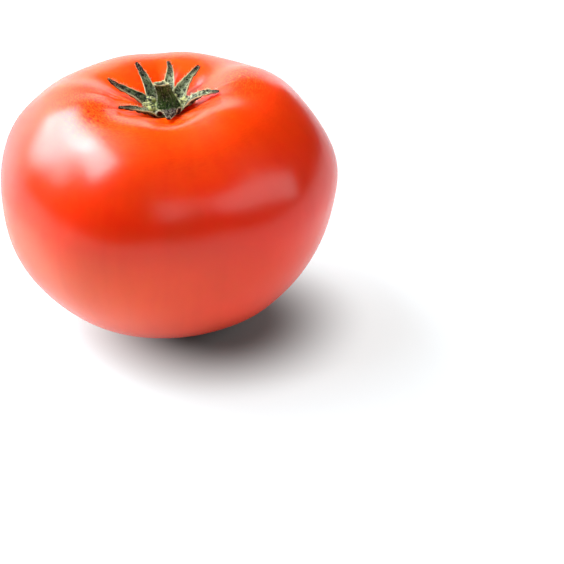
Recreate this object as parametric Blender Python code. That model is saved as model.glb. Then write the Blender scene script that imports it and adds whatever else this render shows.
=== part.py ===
"""A salad tomato, whole and as picked: the fruit, its calyx and the stub of its stalk.

Metres, +Z up. The fruit stands on the flat spot under it, at Z = 0, and the origin is on the
surface that it stands on, under the middle of the fruit's width and depth.
"""

import math
from collections import namedtuple

import bmesh
import bpy
from mathutils import Vector

# The fruit's side outline: a rounded form, fuller over its widest circle than under it
HALF_WIDTH = 0.041
CROWN_HEIGHT = 0.04031
BASE_HEIGHT = 0.03913
CROWN_FULLNESS = 1.533
BASE_FULLNESS = 1.994
FULLNESS_CHANGES = (math.radians(55), math.radians(125))

# The flat spot that it stands on, and the scar that the flower left in the middle of it
FLAT_RADIUS = 0.0095
SCAR_RADIUS = 0.0026
SCAR_DEPTH = 0.0004

# The hollow round the stalk, and by what share its radius grows at each order round the fruit,
# as cosine and sine. Its pull fades out along the skin, on past the widest circle.
HOLLOW_DEPTH = 0.0258
HOLLOW_RADIUS = 0.01791
HOLLOW_STEEPNESS = 1.575
HOLLOW_WAVES = ((1, 0.010, 0.076), (2, -0.045, -0.023), (3, 0.027, -0.002), (4, -0.024, -0.050))
HOLLOW_UNFOLDS = (math.radians(60), math.radians(90))

# How the fruit grew out of round: wider along X than along Y, and fuller high up on its +X side
OVAL_SHARE = 0.0179
OVAL_AZIMUTH = math.radians(6.7)
LOPSIDED_SHARE = 0.0060

# Soft furrows that run out from the hollow over the shoulders and part the lobes. Depth is a
# share of the fruit's radius, azimuth and half-width are in degrees from +X, and each one fades
# out between two angles down from the stalk, in degrees.
Furrow = namedtuple("Furrow", "azimuth depth half_width fades ends")
FURROWS = (
    Furrow(azimuth=19, depth=0.0288, half_width=15.2, fades=80, ends=127),
    Furrow(azimuth=40, depth=0.0446, half_width=18.3, fades=39, ends=76),
    Furrow(azimuth=95, depth=0.0291, half_width=14.3, fades=34, ends=107),
    Furrow(azimuth=155, depth=0.0298, half_width=15.3, fades=53, ends=119),
    Furrow(azimuth=187, depth=0.0700, half_width=24.5, fades=80, ends=122),
    Furrow(azimuth=216, depth=0.0421, half_width=19.2, fades=80, ends=150),
    Furrow(azimuth=281, depth=0.0714, half_width=22.4, fades=80, ends=150),
    Furrow(azimuth=302, depth=0.0238, half_width=16.4, fades=39, ends=130),
)
FURROW_STARTS = (math.radians(6), math.radians(20))

# The fruit's mesh: rings by the angle from straight up, and points round each ring
FRUIT_SIDES = 64
CROWN_STEP = math.radians(3)
CROWN_RINGS = 12
SIDE_RINGS = 24

# The calyx: a small disc on the hollow's floor, a little to the +X side of its middle, with the
# sepals grown out of its rim
CALYX_X = 0.0012
GAP = 0.0003
DISC_RADIUS = 0.0034
DISC_THICKNESS = 0.0009
DISC_SIDES = 32
BLADE_THICKNESS = 0.0007
BLADE_CLEARANCE = 0.00045
BLADE_ROOT = 0.0022
BLADE_TIP_HALF_WIDTH = 0.00025
BLADE_STEPS = 16
BLADE_CROSS_STEPS = 6

# Each sepal: the azimuth of its root and how far its tip swings round, in degrees, how far its
# tip reaches from the stalk's axis, its half-width, how far its tip stands off the skin, how
# much its edges fold up along the midrib, and how it rolls over on its way out, in degrees.
Sepal = namedtuple("Sepal", "azimuth swing reach half_width lift fold roll")
SEPALS = (
    Sepal(azimuth=349, swing=4.5, reach=0.0122, half_width=0.0019, lift=0.0000, fold=0.50, roll=20),
    Sepal(azimuth=57, swing=3, reach=0.0134, half_width=0.0020, lift=0.0017, fold=0.40, roll=14),
    Sepal(azimuth=88, swing=4.5, reach=0.0140, half_width=0.0018, lift=0.0017, fold=0.35, roll=0),
    Sepal(azimuth=129, swing=-8, reach=0.0146, half_width=0.0018, lift=0.0017, fold=0.25, roll=-8),
    Sepal(azimuth=163, swing=-2, reach=0.0151, half_width=0.0017, lift=0.0012, fold=0.50, roll=-22),
    Sepal(azimuth=226, swing=-17, reach=0.0129, half_width=0.0017, lift=0.0001, fold=0.45, roll=-18),
    Sepal(azimuth=276, swing=0, reach=0.0094, half_width=0.0028, lift=0.0000, fold=0.10, roll=6),
)

# The stalk's stub, broken off a little over the calyx, leaning towards -X
STALK_HEIGHT = 0.0053
STALK_LEAN = 0.0015
STALK_FOOT_RADIUS = 0.0027
STALK_RADIUS = 0.0017
STALK_FOOT_REACH = 0.0052
STALK_RIBS = 5
STALK_RIB_SHARE = 0.07
STALK_RINGS = 10
STALK_SIDES = 30
CUT_DEPTH = 0.0005
CUT_RADIUS_SHARE = 0.62

FULL_TURN = 2 * math.pi


def ease(x, start, end):
    """0 up to start, 1 from end on, and a smooth rise between them."""
    share = min(max((x - start) / (end - start), 0.0), 1.0)
    return share * share * (3 - 2 * share)


def widest_height():
    """Height of the fruit's widest circle over the flat spot, which cuts its base off level."""
    share = (FLAT_RADIUS / HALF_WIDTH) ** BASE_FULLNESS
    return BASE_HEIGHT * (1 - share) ** (1 / BASE_FULLNESS)


def furrow_share(polar, azimuth):
    """How far the furrows draw the skin in, as a share of the radius."""
    drawn_in = 0.0
    for furrow in FURROWS:
        away = (math.degrees(azimuth) - furrow.azimuth + 180) % 360 - 180
        left = 1 - ease(math.degrees(polar), furrow.fades, furrow.ends)
        drawn_in += furrow.depth * math.exp(-((away / furrow.half_width) ** 2)) * left
    return drawn_in * ease(polar, *FURROW_STARTS)


def hollow_depth(plain, from_axis, polar, azimuth):
    """How far the hollow draws the skin down, by its distance out along the skin. Plain is the
    distance from the axis before any lobe, and the distance goes on growing under the widest circle."""
    if polar < math.pi / 2:
        along = from_axis + (plain - from_axis) * ease(polar, *HOLLOW_UNFOLDS)
    else:
        along = 2 * HALF_WIDTH - plain
    waves = sum(c * math.cos(k * azimuth) + s * math.sin(k * azimuth) for k, c, s in HOLLOW_WAVES)
    return HOLLOW_DEPTH * math.exp(-((along / (HOLLOW_RADIUS * (1 + waves))) ** HOLLOW_STEEPNESS))


def skin_point(polar, azimuth):
    """A point of the skin, by its angle from straight up at the widest circle's centre."""
    change = ease(polar, *FULLNESS_CHANGES)
    fullness = CROWN_FULLNESS + (BASE_FULLNESS - CROWN_FULLNESS) * change
    height = CROWN_HEIGHT + (BASE_HEIGHT - CROWN_HEIGHT) * change
    up = math.cos(polar)
    out = math.sin(polar)
    radius = (abs(up / height) ** fullness + abs(out / HALF_WIDTH) ** fullness) ** (-1 / fullness)
    grown = 1 + OVAL_SHARE * math.cos(2 * (azimuth - OVAL_AZIMUTH)) * out * (1 - change)
    grown += LOPSIDED_SHARE * math.cos(azimuth) * math.sin(2 * polar) * (1 - change)
    grown -= furrow_share(polar, azimuth)
    from_axis = radius * grown * out
    hollow = hollow_depth(radius * out, from_axis, polar, azimuth)
    over = widest_height() + radius * grown * up - hollow
    return Vector((from_axis * math.cos(azimuth), from_axis * math.sin(azimuth), over))


def skin_height(x, y):
    """Height of the crown's skin straight under or over a point, found by halving."""
    azimuth = math.atan2(y, x)
    wanted = math.hypot(x, y)
    low = 0.0
    high = math.radians(60)
    for _ in range(30):
        middle = (low + high) / 2
        point = skin_point(middle, azimuth)
        if math.hypot(point.x, point.y) < wanted:
            low = middle
        else:
            high = middle
    return skin_point((low + high) / 2, azimuth).z


def polar_angles():
    """The rings of the skin between the middle of the hollow and the flat spot's edge."""
    crown = [CROWN_STEP * (ring + 1) for ring in range(CROWN_RINGS)]
    flat_edge = math.pi - math.atan2(FLAT_RADIUS, widest_height())
    step = (flat_edge - crown[-1]) / SIDE_RINGS
    return crown + [crown[-1] + step * (ring + 1) for ring in range(SIDE_RINGS)]


def add_ring(mesh, points):
    return [mesh.verts.new(point) for point in points]


def bridge(mesh, upper, lower):
    """Faces between two rings that run anticlockwise seen from above."""
    for side in range(len(upper)):
        after = (side + 1) % len(upper)
        mesh.faces.new((upper[side], lower[side], lower[after], upper[after]))


def cap(mesh, ring, centre, facing_up):
    """A fan of triangles from a ring to its centre."""
    middle = mesh.verts.new(centre)
    for side in range(len(ring)):
        pair = (ring[side], ring[(side + 1) % len(ring)])
        mesh.faces.new((middle, *(pair if facing_up else reversed(pair))))


def circle(radius, height, sides, x=0.0):
    """Points of a level circle round the Z axis, or round an upright through x."""
    turns = [FULL_TURN * side / sides for side in range(sides)]
    return [Vector((x + radius * math.cos(turn), radius * math.sin(turn), height)) for turn in turns]


def add_object(name, mesh, material, group):
    """Turns a bmesh into a smooth-shaded object that belongs to the tomato."""
    data = bpy.data.meshes.new(name)
    mesh.to_mesh(data)
    mesh.free()
    data.shade_smooth()
    data.materials.append(material)
    made = bpy.data.objects.new(name, data)
    made.parent = group
    bpy.context.scene.collection.objects.link(made)
    return made


def add_material(name, colour, roughness):
    material = bpy.data.materials.new(name)
    material.use_nodes = True
    shader = material.node_tree.nodes["Principled BSDF"]
    shader.inputs["Base Color"].default_value = (*colour, 1.0)
    shader.inputs["Roughness"].default_value = roughness
    shader.inputs["Metallic"].default_value = 0.0
    return material


def build_fruit(material, group):
    """The fruit is one solid body, lobed round the stalk's hollow, with a flat spot under it."""
    mesh = bmesh.new()
    turns = [FULL_TURN * side / FRUIT_SIDES for side in range(FRUIT_SIDES)]
    rings = [add_ring(mesh, [skin_point(polar, turn) for turn in turns]) for polar in polar_angles()]
    for vertex in rings[-1]:
        vertex.co.z = 0.0
    rings.append(add_ring(mesh, circle(SCAR_RADIUS, 0.0, FRUIT_SIDES)))
    rings.append(add_ring(mesh, circle(SCAR_RADIUS / 2, SCAR_DEPTH, FRUIT_SIDES)))
    for upper, lower in zip(rings, rings[1:]):
        bridge(mesh, upper, lower)
    cap(mesh, rings[0], skin_point(0.0, 0.0), facing_up=True)
    cap(mesh, rings[-1], Vector((0.0, 0.0, SCAR_DEPTH)), facing_up=False)
    return add_object("fruit", mesh, material, group)


def middle_of(made):
    """The middle of an object's width and depth."""
    xs = [vertex.co.x for vertex in made.data.vertices]
    ys = [vertex.co.y for vertex in made.data.vertices]
    return Vector(((min(xs) + max(xs)) / 2, (min(ys) + max(ys)) / 2, 0.0))


def blade_half_width(sepal, along):
    """A sepal is broad a quarter of the way out and draws to a fine point."""
    swell = 0.74 + 0.26 * math.sin(math.pi * min(along / 0.5, 1.0))
    taper = (1 - along**1.7) ** 0.85
    return BLADE_TIP_HALF_WIDTH + (sepal.half_width - BLADE_TIP_HALF_WIDTH) * swell * taper


def midrib(sepal, along):
    """A point of the midrib, which follows the hollow's wall and lifts off it towards the tip."""
    distance = BLADE_ROOT + (sepal.reach - BLADE_ROOT) * along
    azimuth = math.radians(sepal.azimuth + sepal.swing * along**1.5)
    x = CALYX_X + distance * math.cos(azimuth)
    y = distance * math.sin(azimuth)
    stand_off = BLADE_CLEARANCE + BLADE_THICKNESS + sepal.lift * along**1.6
    return Vector((x, y, skin_height(x, y) + stand_off))


def blade_top(sepal):
    """Rows of points of a sepal's upper face, from root to tip and from side to side."""
    rows = []
    for step in range(BLADE_STEPS + 1):
        along = step / BLADE_STEPS
        here = midrib(sepal, along)
        ahead = midrib(sepal, min(along + 0.02, 1.0)) - midrib(sepal, max(along - 0.02, 0.0))
        forward = ahead.normalized()
        level = Vector((0, 0, 1)).cross(forward).normalized()
        roll = math.radians(sepal.roll) * along
        side = level * math.cos(roll) + forward.cross(level) * math.sin(roll)
        normal = forward.cross(side)
        width = blade_half_width(sepal, along)
        fold = sepal.fold * ease(along, 0.1, 0.45)
        row = []
        for cross_step in range(BLADE_CROSS_STEPS + 1):
            across = 2 * cross_step / BLADE_CROSS_STEPS - 1
            point = here + side * across * width + normal * fold * abs(across) ** 1.3 * width
            lowest = skin_height(point.x, point.y) + BLADE_CLEARANCE + BLADE_THICKNESS
            point.z = max(point.z, lowest)
            row.append(point)
        rows.append(row)
    return rows


def blade_normal(rows, step, cross_step):
    """The upper face's direction at one of its points, from the points round it."""
    before = rows[max(step - 1, 0)][cross_step]
    after = rows[min(step + 1, len(rows) - 1)][cross_step]
    row = rows[step]
    right = row[max(cross_step - 1, 0)]
    left = row[min(cross_step + 1, len(row) - 1)]
    return (after - before).cross(left - right).normalized()


def build_sepal(sepal, name):
    """One thin arched blade, split into triangles alike on both faces."""
    rows = blade_top(sepal)
    mesh = bmesh.new()
    top = [add_ring(mesh, row) for row in rows]
    under = []
    for step, row in enumerate(rows):
        lowered = [point - blade_normal(rows, step, k) * BLADE_THICKNESS for k, point in enumerate(row)]
        under.append(add_ring(mesh, lowered))
    last = len(rows) - 1
    edge = len(rows[0]) - 1
    for step in range(last):
        for k in range(edge):
            corners = ((step, k), (step + 1, k), (step + 1, k + 1), (step, k + 1))
            for a, b, c in ((0, 1, 2), (0, 2, 3)):
                over = [top[i][j] for i, j in (corners[a], corners[b], corners[c])]
                below = [under[i][j] for i, j in (corners[c], corners[b], corners[a])]
                mesh.faces.new(over)
                mesh.faces.new(below)
        mesh.faces.new((top[step][0], under[step][0], under[step + 1][0], top[step + 1][0]))
        mesh.faces.new((top[step + 1][edge], under[step + 1][edge], under[step][edge], top[step][edge]))
    for k in range(edge):
        mesh.faces.new((top[0][k + 1], under[0][k + 1], under[0][k], top[0][k]))
        mesh.faces.new((top[last][k], under[last][k], under[last][k + 1], top[last][k + 1]))
    bmesh.ops.triangulate(mesh, faces=[face for face in mesh.faces if len(face.verts) > 3])
    data = bpy.data.meshes.new(name)
    mesh.to_mesh(data)
    mesh.free()
    return bpy.data.objects.new(name, data)


def disc_floor():
    """Height of the calyx disc's underside, just over the hollow's floor."""
    rim = circle(DISC_RADIUS, 0.0, DISC_SIDES, CALYX_X)
    return max(skin_height(point.x, point.y) for point in rim) + GAP


def build_calyx(material, group):
    """The disc under the stalk with the sepals fused into its rim."""
    floor = disc_floor()
    mesh = bmesh.new()
    under = add_ring(mesh, circle(DISC_RADIUS * 0.86, floor, DISC_SIDES, CALYX_X))
    rim = add_ring(mesh, circle(DISC_RADIUS, floor + DISC_THICKNESS * 0.45, DISC_SIDES, CALYX_X))
    top = add_ring(mesh, circle(DISC_RADIUS * 0.84, floor + DISC_THICKNESS, DISC_SIDES, CALYX_X))
    bridge(mesh, rim, under)
    bridge(mesh, top, rim)
    cap(mesh, top, Vector((CALYX_X, 0, floor + DISC_THICKNESS)), facing_up=True)
    cap(mesh, under, Vector((CALYX_X, 0, floor)), facing_up=False)
    calyx = add_object("calyx", mesh, material, group)

    sepals = bpy.data.collections.new("sepals")
    bpy.context.scene.collection.children.link(sepals)
    for number, sepal in enumerate(SEPALS):
        sepals.objects.link(build_sepal(sepal, f"sepal_{number + 1}"))
    join = calyx.modifiers.new("join_sepals", "BOOLEAN")
    join.operation = "UNION"
    join.operand_type = "COLLECTION"
    join.collection = sepals
    join.solver = "EXACT"
    bpy.context.view_layer.objects.active = calyx
    bpy.ops.object.modifier_apply(modifier=join.name)
    for blade in list(sepals.objects):
        bpy.data.objects.remove(blade)
    bpy.data.collections.remove(sepals)
    return calyx


def stalk_radius(height):
    """The stalk flares into a foot where it meets the calyx."""
    flare = (1 - min(height / STALK_FOOT_REACH, 1.0)) ** 2
    return STALK_RADIUS + (STALK_FOOT_RADIUS - STALK_RADIUS) * flare


def stalk_ring(height, share=1.0):
    """A ribbed ring round the leaning stalk, at a height over its foot."""
    lean = STALK_LEAN * (height / STALK_HEIGHT) ** 1.4
    points = []
    for side in range(STALK_SIDES):
        turn = FULL_TURN * side / STALK_SIDES
        radius = stalk_radius(height) * (1 + STALK_RIB_SHARE * math.cos(STALK_RIBS * turn)) * share
        points.append(Vector((radius * math.cos(turn) - lean, radius * math.sin(turn), height)))
    return points


def build_stalk(material, group):
    """The stalk stands on the calyx disc, and its cut end is a little sunk in the middle."""
    mesh = bmesh.new()
    heights = [STALK_HEIGHT * (1 - ring / STALK_RINGS) for ring in range(STALK_RINGS + 1)]
    cut = add_ring(mesh, stalk_ring(STALK_HEIGHT, CUT_RADIUS_SHARE))
    for vertex in cut:
        vertex.co.z -= CUT_DEPTH
    rings = [cut] + [add_ring(mesh, stalk_ring(height)) for height in heights]
    for upper, lower in zip(rings, rings[1:]):
        bridge(mesh, upper, lower)
    cap(mesh, cut, Vector((-STALK_LEAN, 0, STALK_HEIGHT - CUT_DEPTH)), facing_up=True)
    cap(mesh, rings[-1], Vector((0, 0, 0)), facing_up=False)
    stalk = add_object("stalk", mesh, material, group)
    stalk.location = (CALYX_X, 0.0, disc_floor() + DISC_THICKNESS + GAP)
    return stalk


def clear_scene():
    for made in list(bpy.data.objects):
        bpy.data.objects.remove(made)


clear_scene()
tomato = bpy.data.objects.new("tomato", None)
bpy.context.scene.collection.objects.link(tomato)
skin = add_material("ripe_skin", (0.80, 0.075, 0.02), 0.30)
green = add_material("calyx_green", (0.12, 0.19, 0.06), 0.75)
stem = add_material("stalk_green", (0.15, 0.20, 0.08), 0.75)
fruit = build_fruit(skin, tomato)
build_calyx(green, tomato)
build_stalk(stem, tomato)
tomato.location = -middle_of(fruit)
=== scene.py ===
"""A whole ripe salad tomato with its calyx and the stub of its stalk, standing in a pale studio."""

import math

import bpy
import numpy as np
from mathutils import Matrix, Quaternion, Vector, kdtree


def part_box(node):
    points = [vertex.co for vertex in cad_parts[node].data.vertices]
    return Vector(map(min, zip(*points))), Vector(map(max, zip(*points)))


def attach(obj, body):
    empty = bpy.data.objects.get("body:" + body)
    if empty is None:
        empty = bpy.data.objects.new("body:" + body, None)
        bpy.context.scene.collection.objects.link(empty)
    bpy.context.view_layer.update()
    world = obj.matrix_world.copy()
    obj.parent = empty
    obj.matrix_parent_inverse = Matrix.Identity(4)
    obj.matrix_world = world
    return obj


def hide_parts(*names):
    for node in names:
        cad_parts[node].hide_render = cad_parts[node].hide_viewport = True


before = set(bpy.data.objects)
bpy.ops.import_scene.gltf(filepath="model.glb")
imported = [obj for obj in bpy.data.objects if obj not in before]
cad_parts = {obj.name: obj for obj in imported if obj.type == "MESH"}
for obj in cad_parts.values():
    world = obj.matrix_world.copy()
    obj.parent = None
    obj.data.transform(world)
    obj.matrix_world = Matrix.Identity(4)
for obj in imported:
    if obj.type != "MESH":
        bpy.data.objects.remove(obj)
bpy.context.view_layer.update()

# The fruit is one swollen ovary, soft flesh under a thin waxy skin. It grew in lobes round the
# hollow where the stalk holds it, and it stands on a small flat spot under its blossom scar.

# The plain form under the lobes: how far it reaches out, up and down from its widest circle, how
# full its crown and its base are, and how oval and lopsided it is
HALF_WIDTH = 0.041
CROWN_HEIGHT = 0.040314
BASE_HEIGHT = 0.03913
CROWN_FULLNESS = 1.5332
BASE_FULLNESS = 1.9944
FULLNESS_CHANGES = (math.radians(55), math.radians(125))
OVAL_SHARE = 0.0179
OVAL_AZIMUTH = math.radians(6.7)
LOPSIDED_SHARE = 0.0060

# The flat spot that it rests on, and the height under which its skin is pressed level
FLAT_RADIUS = 0.0095
FLAT_BLEND = 0.0003
FLAT_HOLLOW = 0.0002
PRESSED_BELOW = 0.004
WIDEST_HEIGHT = BASE_HEIGHT * (1 - (FLAT_RADIUS / HALF_WIDTH) ** BASE_FULLNESS) ** (1 / BASE_FULLNESS)

# The hollow, and by what share its radius grows at each order round the fruit, as cosine and
# sine. It draws the skin down less and less, out to the widest circle and on round under it.
HOLLOW_DEPTH = 0.0258
HOLLOW_RADIUS = 0.01791
HOLLOW_STEEPNESS = 1.575
HOLLOW_WAVES = ((1, 0.0099, 0.0758), (2, -0.0447, -0.0228), (3, 0.0272, -0.0020), (4, -0.0235, -0.0500))
HOLLOW_UNFOLDS = (math.radians(60), math.radians(90))

# Furrows between the lobes: azimuth from +X, depth as a share of the radius, half-width, and the
# angles down from the stalk between which it fades out, all angles in degrees
FURROWS = (
    (18.7, 0.0288, 15.2, 79.9, 127),
    (39.7, 0.0446, 18.3, 39.1, 75.8),
    (95.4, 0.0291, 14.3, 33.7, 107),
    (155.3, 0.0298, 15.3, 53.2, 119),
    (186.9, 0.0700, 24.5, 79.6, 122),
    (216.4, 0.0421, 19.2, 79.9, 150),
    (281.1, 0.0714, 22.4, 80.0, 150),
    (302.2, 0.0238, 16.4, 38.5, 130),
)
FURROW_STARTS = (math.radians(6), math.radians(20))

# Low swells of the shoulders and of the sides, by order round the fruit, as cosine and sine
SHOULDER_SWELLS = (
    (1, 0.0007, -0.0034),
    (2, 0.0056, -0.0004),
    (3, -0.0043, 0.0030),
    (4, 0.0017, 0.0047),
    (5, -0.0044, 0.0041),
    (6, -0.0051, -0.0015),
)
SIDE_SWELLS = (
    (1, 0.0002, 0.0003),
    (2, -0.0005, -0.0002),
    (3, 0.0005, -0.0008),
    (4, -0.0010, -0.0014),
    (5, -0.0001, -0.0023),
    (6, -0.0018, -0.0007),
)
# The angle down from the stalk where each is strongest, and its spread, in radians
SHOULDER_BAND = (0.663, 0.384)
SIDE_BAND = (1.484, 0.524)

# Shallow unevenness of the skin, and fine creases drawn in towards the stalk
RIPPLES = 26
RIPPLE_HEIGHT = 0.00032
RIPPLE_PACES = (6.0, 19.0)
CREASES = 34
CREASE_DEPTH = 0.00016
CREASE_HALF_WIDTH = math.radians(2.6)
CREASE_REACHES = (0.010, 0.020)
CREASE_STARTS = (0.002, 0.006)
CREASE_STRENGTHS = (0.3, 1.0)

# The blossom scar: a dimple with folds twisted round it, and the style's stub in the middle
SCAR_RADIUS = 0.0024
SCAR_DEPTH = 0.0004
SCAR_FOLDS = 7
SCAR_FOLD_TWIST = 4000.0
SCAR_FOLD_HEIGHT = 0.00012
SCAR_FOLD_BAND = (0.0025, 0.0016)
STYLE_STUB_HEIGHT = 0.0003
STYLE_STUB_RADIUS = 0.0006

FRUIT_SIDES = 320

growth = np.random.default_rng(31)
ripple_ways = growth.normal(size=(RIPPLES, 3))
ripple_ways /= np.linalg.norm(ripple_ways, axis=1, keepdims=True)
ripple_pace = growth.uniform(*RIPPLE_PACES, RIPPLES)
ripple_phase = growth.uniform(0, 2 * math.pi, RIPPLES)
crease_azimuth = growth.uniform(0, 2 * math.pi, CREASES)
crease_reach = growth.uniform(*CREASE_REACHES, CREASES)
crease_depth = growth.uniform(*CREASE_STRENGTHS, CREASES) * CREASE_DEPTH


def ease(x, start, end):
    """0 up to start, 1 from end on, and a smooth rise between them."""
    share = np.clip((x - start) / (end - start), 0.0, 1.0)
    return share * share * (3 - 2 * share)


def around(x, middle, spread):
    """1 at the middle, falling off smoothly on both sides of it."""
    return np.exp(-(((x - middle) / spread) ** 2))


def waves(orders, azimuth):
    """A sum of waves round the fruit, each given as its order, cosine share and sine share."""
    return sum(c * np.cos(order * azimuth) + s * np.sin(order * azimuth) for order, c, s in orders)


def furrow_share(polar, azimuth):
    """How far the furrows draw the skin in, as a share of the radius."""
    drawn_in = np.zeros(np.broadcast(polar, azimuth).shape)
    for middle, depth, half_width, fades, ends in FURROWS:
        away = (np.degrees(azimuth) - middle + 180) % 360 - 180
        left = 1 - ease(polar, math.radians(fades), math.radians(ends))
        drawn_in += depth * around(away, 0, half_width) * left
    return drawn_in * ease(polar, *FURROW_STARTS)


def unevenness(polar, azimuth, from_axis):
    """Soft swells all over the skin, and the creases that run into the hollow."""
    facing = np.stack(
        [np.sin(polar) * np.cos(azimuth), np.sin(polar) * np.sin(azimuth), np.cos(polar) + 0 * azimuth], -1
    )
    swell = np.zeros(facing.shape[:-1])
    for way, pace, phase in zip(ripple_ways, ripple_pace, ripple_phase):
        swell += RIPPLE_HEIGHT / pace * np.sin(pace * (facing @ way) + phase)
    for middle, reach, depth in zip(crease_azimuth, crease_reach, crease_depth):
        away = (azimuth - middle + math.pi) % (2 * math.pi) - math.pi
        along = ease(from_axis, *CREASE_STARTS) * (1 - ease(from_axis, 0.5 * reach, reach))
        swell -= depth * around(away, 0, CREASE_HALF_WIDTH) * along * (np.cos(polar) > 0)
    return swell


def skin(polar, azimuth):
    """Points of the skin, by the angle from straight up at the widest circle's centre."""
    change = ease(polar, *FULLNESS_CHANGES)
    fullness = CROWN_FULLNESS + (BASE_FULLNESS - CROWN_FULLNESS) * change
    height = CROWN_HEIGHT + (BASE_HEIGHT - CROWN_HEIGHT) * change
    up = np.cos(polar)
    out = np.sin(polar)
    round_radius = (
        np.abs(up / height) ** fullness + np.abs(out / HALF_WIDTH) ** fullness
    ) ** (-1 / fullness)
    grown = 1 + OVAL_SHARE * np.cos(2 * (azimuth - OVAL_AZIMUTH)) * out * (1 - change)
    grown = grown + LOPSIDED_SHARE * np.cos(azimuth) * np.sin(2 * polar) * (1 - change)
    grown = grown - furrow_share(polar, azimuth)
    grown = grown + waves(SHOULDER_SWELLS, azimuth) * around(polar, *SHOULDER_BAND)
    grown = grown + waves(SIDE_SWELLS, azimuth) * around(polar, *SIDE_BAND)
    radius = round_radius * grown
    radius = radius + unevenness(polar, azimuth, radius * out)
    from_axis = radius * out
    hollow_radius = HOLLOW_RADIUS * (1 + waves(HOLLOW_WAVES, azimuth))
    plain = round_radius * out
    along_crown = from_axis + (plain - from_axis) * ease(polar, *HOLLOW_UNFOLDS)
    along_skin = np.where(up > 0, along_crown, 2 * HALF_WIDTH - plain)
    hollow = HOLLOW_DEPTH * np.exp(-((along_skin / hollow_radius) ** HOLLOW_STEEPNESS))
    over = WIDEST_HEIGHT + radius * up - hollow
    return np.stack([from_axis * np.cos(azimuth), from_axis * np.sin(azimuth), over], -1)


def settle(points):
    """Presses the underside level, a little hollow in the middle, with the scar drawn in."""
    from_axis = np.hypot(points[..., 0], points[..., 1])
    azimuth = np.arctan2(points[..., 1], points[..., 0])
    level = FLAT_HOLLOW * (1 - np.minimum(from_axis / FLAT_RADIUS, 1.0) ** 2)
    level += SCAR_DEPTH * around(from_axis, 0, SCAR_RADIUS)
    folds = np.cos(SCAR_FOLDS * azimuth + SCAR_FOLD_TWIST * from_axis)
    level += SCAR_FOLD_HEIGHT * folds * around(from_axis, *SCAR_FOLD_BAND)
    level -= STYLE_STUB_HEIGHT * around(from_axis, 0, STYLE_STUB_RADIUS)
    over = points[..., 2]
    share = np.clip(0.5 + 0.5 * (over - level) / FLAT_BLEND, 0, 1)
    pressed = level + (over - level) * share + FLAT_BLEND * share * (1 - share)
    points[..., 2] = np.where(over < PRESSED_BELOW, pressed, over)
    points[..., 2] -= points[..., 2].min()
    return points


def add_piece(name, points, faces, material):
    """A smooth-shaded piece of the tomato that rides on its one body."""
    mesh = bpy.data.meshes.new(name)
    mesh.from_pydata(np.asarray(points).reshape(-1, 3).tolist(), [], faces)
    mesh.shade_smooth()
    mesh.materials.append(material)
    piece = bpy.data.objects.new(name, mesh)
    bpy.context.scene.collection.objects.link(piece)
    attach(piece, "root")
    return piece


def tube_faces(rings, sides):
    """Quads between rings of points that run anticlockwise seen from the first ring's side."""
    faces = []
    for ring in range(rings - 1):
        for side in range(sides):
            after = (side + 1) % sides
            first = ring * sides
            second = first + sides
            faces.append((first + side, second + side, second + after, first + after))
    return faces


def end_faces(first, sides, centre, facing_back):
    """A fan of triangles from a ring, whose points start at first, to its centre point."""
    faces = []
    for side in range(sides):
        pair = (first + side, first + (side + 1) % sides)
        faces.append((centre, *(pair if facing_back else reversed(pair))))
    return faces


def paint(mesh, name, values):
    """Keeps a number or a vector for each point of a mesh, for its material to read."""
    values = np.asarray(values, dtype=np.float32)
    is_vector = values.ndim == 2
    layer = mesh.attributes.new(name, "FLOAT_VECTOR" if is_vector else "FLOAT", "POINT")
    layer.data.foreach_set("vector" if is_vector else "value", values.ravel())


fruit_polar = np.radians(
    np.concatenate([np.linspace(0.5, 36, 64), np.linspace(36.8, 160, 128), np.linspace(160.6, 179.6, 46)])
)
fruit_azimuth = np.arange(FRUIT_SIDES) * 2 * math.pi / FRUIT_SIDES
polar_grid, azimuth_grid = np.meshgrid(fruit_polar, fruit_azimuth, indexing="ij")
fruit_points = settle(skin(polar_grid, azimuth_grid))
pole = np.array([fruit_points[0].mean(0), fruit_points[-1].mean(0)])

low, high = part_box("fruit")
own_middle = (fruit_points.reshape(-1, 3).min(0) + fruit_points.reshape(-1, 3).max(0)) / 2
shift = np.array([(low.x + high.x) / 2 - own_middle[0], (low.y + high.y) / 2 - own_middle[1], 0.0])

rings = len(fruit_polar)
fruit_faces = tube_faces(rings, FRUIT_SIDES)
fruit_faces += end_faces(0, FRUIT_SIDES, rings * FRUIT_SIDES, True)
fruit_faces += end_faces((rings - 1) * FRUIT_SIDES, FRUIT_SIDES, rings * FRUIT_SIDES + 1, False)
all_points = np.concatenate([fruit_points.reshape(-1, 3), pole]) + shift


def linear(colour):
    """An sRGB hex colour as linear red, green, blue and alpha."""
    channels = [int(colour[i : i + 2], 16) / 255 for i in (1, 3, 5)]
    return (*(c / 12.92 if c <= 0.04045 else ((c + 0.055) / 1.055) ** 2.4 for c in channels), 1.0)


def add_node(material, kind, inputs=None, **settings):
    """Adds a node: settings are its own, and each input is a value or a socket to link from."""
    tree = material.node_tree
    node = tree.nodes.new(kind)
    for name, value in settings.items():
        setattr(node, name, value)
    for name, value in (inputs or {}).items():
        if isinstance(value, bpy.types.NodeSocket):
            tree.links.new(value, node.inputs[name])
        else:
            node.inputs[name].default_value = value
    return node


# Ripe tomato skin: a clear waxy cuticle over red flesh. The flesh shows through and glows a
# little, the wax gives wide soft highlights, and small pale freckles lie in places round the hollow.
# The lower half is painted paler orange, most of all on the lower left: painted light from the white floor.

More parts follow.
